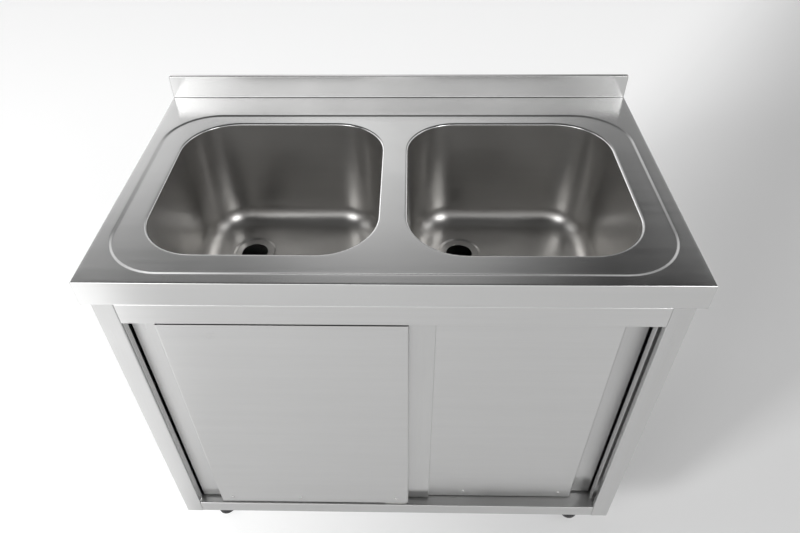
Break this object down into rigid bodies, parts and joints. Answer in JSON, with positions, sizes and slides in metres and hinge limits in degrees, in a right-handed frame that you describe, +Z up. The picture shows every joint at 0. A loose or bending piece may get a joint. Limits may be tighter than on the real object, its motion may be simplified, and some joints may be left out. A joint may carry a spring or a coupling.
{
  "type": "kitchen sink unit",
  "caption": "Free-standing stainless steel sink unit: a worktop with drawn bowls and an upstand, on a cupboard with hanging sliding doors.",
  "frame": {"origin": "on the floor, under the middle of the worktop", "axes": "+X to the right of a person at the sink, +Y towards the wall, +Z up"},
  "size_m": [1, 0.6, 0.9],
  "materials": {
    "worktop_steel": "satin brushed stainless sheet",
    "bowl_steel": "drawn stainless sheet, satin",
    "cupboard_steel": "satin brushed stainless sheet",
    "door_steel": "satin brushed stainless sheet",
    "zinc_sheet": "zinc coated sheet",
    "fastener_steel": "bright zinc plate",
    "white_nylon": "moulded nylon",
    "black_plastic": "moulded black plastic",
    "black_rubber": "moulded rubber"
  },
  "bodies": {
    "cabinet": {"worktop": "worktop_steel", "left_bowl": "bowl_steel", "right_bowl": "bowl_steel", "front_stiffener": "zinc_sheet", "rear_stiffener": "zinc_sheet", "left_side_panel": "cupboard_steel", "right_side_panel": "cupboard_steel", "fascia": "cupboard_steel", "bottom_shelf": "cupboard_steel", "back_panel": "cupboard_steel", "left_jamb": "cupboard_steel", "right_jamb": "cupboard_steel", "front_track": "zinc_sheet", "rear_track": "zinc_sheet", "front_track_stops": "black_rubber", "rear_track_stops": "black_rubber", "centre_guide": "white_nylon", "centre_guide_screws": "fastener_steel", "left_base_rail": "zinc_sheet", "right_base_rail": "zinc_sheet", "leg_screws": "fastener_steel", "front_left_leg": "black_plastic", "front_right_leg": "black_plastic", "rear_left_leg": "black_plastic", "rear_right_leg": "black_plastic"},
    "left_door": {"left_door_front_skin": "door_steel", "left_door_back_skin": "door_steel", "left_door_hangers": "zinc_sheet", "left_door_hanger_bolts": "fastener_steel", "left_door_roller_axles": "fastener_steel", "left_door_guide_channel": "zinc_sheet", "left_door_rivets": "fastener_steel"},
    "left_door_left_roller": {"left_door_left_roller": "white_nylon"},
    "left_door_right_roller": {"left_door_right_roller": "white_nylon"},
    "right_door": {"right_door_front_skin": "door_steel", "right_door_back_skin": "door_steel", "right_door_hangers": "zinc_sheet", "right_door_hanger_bolts": "fastener_steel", "right_door_roller_axles": "fastener_steel", "right_door_guide_channel": "zinc_sheet", "right_door_rivets": "fastener_steel"},
    "right_door_left_roller": {"right_door_left_roller": "white_nylon"},
    "right_door_right_roller": {"right_door_right_roller": "white_nylon"},
    "front_left_foot": {"front_left_foot": "black_plastic"},
    "front_right_foot": {"front_right_foot": "black_plastic"},
    "rear_left_foot": {"rear_left_foot": "black_plastic"},
    "rear_right_foot": {"rear_right_foot": "black_plastic"}
  },
  "joints": [
    {"name": "left_door_slide", "type": "slide", "parent": "cabinet", "child": "left_door", "axis": [1, 0, 0], "range_m": [0, 0.366]},
    {"name": "right_door_slide", "type": "slide", "parent": "cabinet", "child": "right_door", "axis": [1, 0, 0], "range_m": [-0.366, 0]},
    {"name": "left_door_left_roller_spin", "type": "hinge", "parent": "left_door", "child": "left_door_left_roller", "pos_m": [-0.383, -0.277, 0.779], "axis": [0, 1, 0], "range_deg": [-10, 2480]},
    {"name": "left_door_right_roller_spin", "type": "hinge", "parent": "left_door", "child": "left_door_right_roller", "pos_m": [0.017, -0.277, 0.779], "axis": [0, 1, 0], "range_deg": [-10, 2480]},
    {"name": "right_door_left_roller_spin", "type": "hinge", "parent": "right_door", "child": "right_door_left_roller", "pos_m": [-0.017, -0.257, 0.779], "axis": [0, 1, 0], "range_deg": [-2480, 10]},
    {"name": "right_door_right_roller_spin", "type": "hinge", "parent": "right_door", "child": "right_door_right_roller", "pos_m": [0.383, -0.257, 0.779], "axis": [0, 1, 0], "range_deg": [-2480, 10]},
    {"name": "front_left_foot_turn", "type": "hinge", "parent": "cabinet", "child": "front_left_foot", "pos_m": [-0.424, -0.234, 0.05], "axis": [0, 0, 1], "range_deg": [-3600, 3600]},
    {"name": "front_right_foot_turn", "type": "hinge", "parent": "cabinet", "child": "front_right_foot", "pos_m": [0.424, -0.234, 0.05], "axis": [0, 0, 1], "range_deg": [-3600, 3600]},
    {"name": "rear_left_foot_turn", "type": "hinge", "parent": "cabinet", "child": "rear_left_foot", "pos_m": [-0.424, 0.225, 0.05], "axis": [0, 0, 1], "range_deg": [-3600, 3600]},
    {"name": "rear_right_foot_turn", "type": "hinge", "parent": "cabinet", "child": "rear_right_foot", "pos_m": [0.424, 0.225, 0.05], "axis": [0, 0, 1], "range_deg": [-3600, 3600]}
  ],
  "couplings": [
    {"joint": "left_door_left_roller_spin", "follows": "left_door_slide", "rad_per_m": 117.65},
    {"joint": "left_door_right_roller_spin", "follows": "left_door_slide", "rad_per_m": 117.65},
    {"joint": "right_door_left_roller_spin", "follows": "right_door_slide", "rad_per_m": 117.65},
    {"joint": "right_door_right_roller_spin", "follows": "right_door_slide", "rad_per_m": 117.65}
  ]
}
